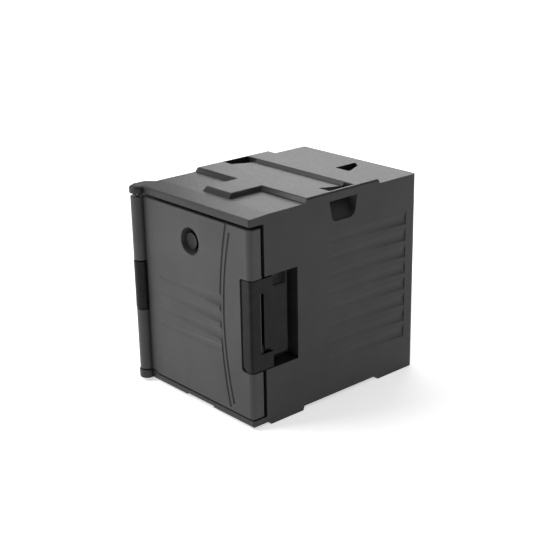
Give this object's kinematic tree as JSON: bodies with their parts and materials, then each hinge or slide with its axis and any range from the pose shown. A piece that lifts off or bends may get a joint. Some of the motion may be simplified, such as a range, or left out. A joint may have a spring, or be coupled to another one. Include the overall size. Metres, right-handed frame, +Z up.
{
  "type": "insulated food carrier",
  "caption": "Front-loading insulated carrier for full-size food pans, with a side-hinged door, a wrap-round snap latch, a push-pull vent, pan rails and two moulded hand holds.",
  "frame": {"origin": "centre of the bounding box in plan, on the floor that the feet stand on", "axes": "+X to the right as seen from the front (latch side), +Y towards the back, +Z up; the door faces -Y and its hinge axis is vertical on the -X side"},
  "size_m": [0.512, 0.677, 0.625],
  "materials": {
    "body_shell_shell": "rotomoulded polyethylene, fine matt grain",
    "body_foam_foam": "rigid polyurethane foam, cut",
    "body_fill_plug_nylon": "moulded glass-filled nylon",
    "hinge_rod_steel": "stainless steel, drawn and brushed",
    "hinge_rod_plug_nylon": "moulded glass-filled nylon",
    "mid_hinge_bracket_nylon": "moulded glass-filled nylon",
    "bracket_screw_1_steel": "stainless steel, drawn and brushed",
    "bracket_screw_2_steel": "stainless steel, drawn and brushed",
    "bracket_screw_3_steel": "stainless steel, drawn and brushed",
    "bracket_screw_4_steel": "stainless steel, drawn and brushed",
    "latch_keeper_nylon": "moulded glass-filled nylon",
    "keeper_screw_1_steel": "stainless steel, drawn and brushed",
    "keeper_screw_2_steel": "stainless steel, drawn and brushed",
    "door_shell_shell": "rotomoulded polyethylene, fine matt grain",
    "door_foam_foam": "rigid polyurethane foam, cut",
    "door_fill_plug_nylon": "moulded glass-filled nylon",
    "door_gasket_rubber": "silicone rubber, matt",
    "hinge_bush_lower_bottom_nylon": "moulded glass-filled nylon",
    "hinge_bush_lower_top_nylon": "moulded glass-filled nylon",
    "hinge_bush_upper_bottom_nylon": "moulded glass-filled nylon",
    "hinge_bush_upper_top_nylon": "moulded glass-filled nylon",
    "vent_sleeve_nylon": "moulded glass-filled nylon",
    "latch_base_nylon": "moulded glass-filled nylon",
    "latch_pin_steel": "stainless steel, drawn and brushed",
    "latch_base_screw_1_steel": "stainless steel, drawn and brushed",
    "latch_base_screw_2_steel": "stainless steel, drawn and brushed",
    "latch_handle_nylon": "moulded glass-filled nylon",
    "vent_plug_nylon": "moulded glass-filled nylon",
    "vent_o_ring_rubber": "silicone rubber, matt"
  },
  "bodies": {
    "carrier_body": {"body_shell": "body_shell_shell", "body_foam": "body_foam_foam", "body_fill_plug": "body_fill_plug_nylon", "hinge_rod": "hinge_rod_steel", "hinge_rod_plug": "hinge_rod_plug_nylon", "mid_hinge_bracket": "mid_hinge_bracket_nylon", "bracket_screw_1": "bracket_screw_1_steel", "bracket_screw_2": "bracket_screw_2_steel", "bracket_screw_3": "bracket_screw_3_steel", "bracket_screw_4": "bracket_screw_4_steel", "latch_keeper": "latch_keeper_nylon", "keeper_screw_1": "keeper_screw_1_steel", "keeper_screw_2": "keeper_screw_2_steel"},
    "door": {"door_shell": "door_shell_shell", "door_foam": "door_foam_foam", "door_fill_plug": "door_fill_plug_nylon", "door_gasket": "door_gasket_rubber", "hinge_bush_lower_bottom": "hinge_bush_lower_bottom_nylon", "hinge_bush_lower_top": "hinge_bush_lower_top_nylon", "hinge_bush_upper_bottom": "hinge_bush_upper_bottom_nylon", "hinge_bush_upper_top": "hinge_bush_upper_top_nylon", "vent_sleeve": "vent_sleeve_nylon", "latch_base": "latch_base_nylon", "latch_pin": "latch_pin_steel", "latch_base_screw_1": "latch_base_screw_1_steel", "latch_base_screw_2": "latch_base_screw_2_steel"},
    "latch": {"latch_handle": "latch_handle_nylon"},
    "vent": {"vent_plug": "vent_plug_nylon", "vent_o_ring": "vent_o_ring_rubber"}
  },
  "joints": [
    {"name": "door_swing", "type": "hinge", "parent": "carrier_body", "child": "door", "pos_m": [-0.232, -0.3145, 0.3], "axis": [0, 0, -1], "range_deg": [0, 250]},
    {"name": "latch_swing", "type": "hinge", "parent": "door", "child": "latch", "pos_m": [0.227, -0.3, 0.304], "axis": [0, 0, -1], "range_deg": [0, 85]},
    {"name": "vent_slide", "type": "slide", "parent": "door", "child": "vent", "axis": [0, -1, 0], "range_m": [0, 0.008]}
  ]
}
